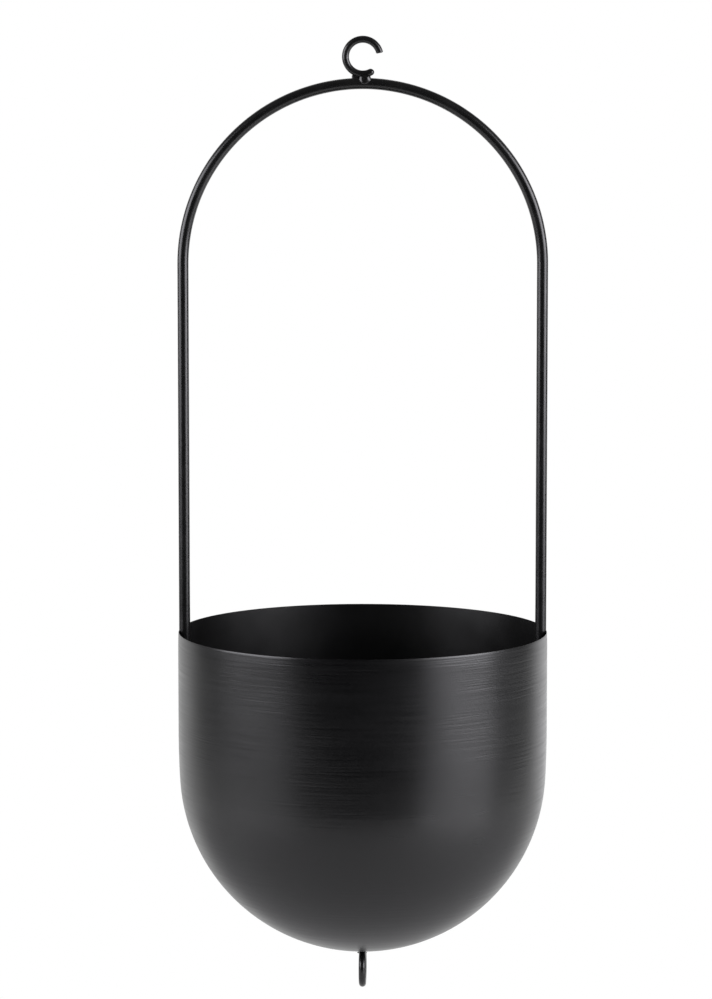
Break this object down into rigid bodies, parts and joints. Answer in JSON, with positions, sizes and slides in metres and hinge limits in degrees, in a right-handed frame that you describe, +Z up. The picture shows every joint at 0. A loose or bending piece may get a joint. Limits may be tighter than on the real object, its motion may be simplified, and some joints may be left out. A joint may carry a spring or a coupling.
{
  "type": "hanging flower pot",
  "caption": "Round-bottomed dark steel flower pot hung from a bent-rod arch, with an open hook on top and a ring underneath for hanging another pot.",
  "frame": {"origin": "the point inside the top of the hook that bears on whatever the pot hangs from", "axes": "+Z up; the arch stands in the XZ plane and the hook's mouth opens towards +X"},
  "size_m": [0.21, 0.21, 0.5438],
  "materials": {
    "black_brushed_steel": "blackened sheet steel, brushed round the wall, satin lacquer outside and matt inside",
    "black_powder_coat": "satin black powder coat on rod, wire and welds"
  },
  "bodies": {
    "root": {"pot_shell": "black_brushed_steel", "arch_hanger": "black_powder_coat", "top_hook": "black_powder_coat", "bottom_eye": "black_powder_coat", "hook_weld": "black_powder_coat", "eye_weld": "black_powder_coat", "left_leg_front_weld": "black_powder_coat", "left_leg_back_weld": "black_powder_coat", "right_leg_front_weld": "black_powder_coat", "right_leg_back_weld": "black_powder_coat"}
  },
  "joints": []
}
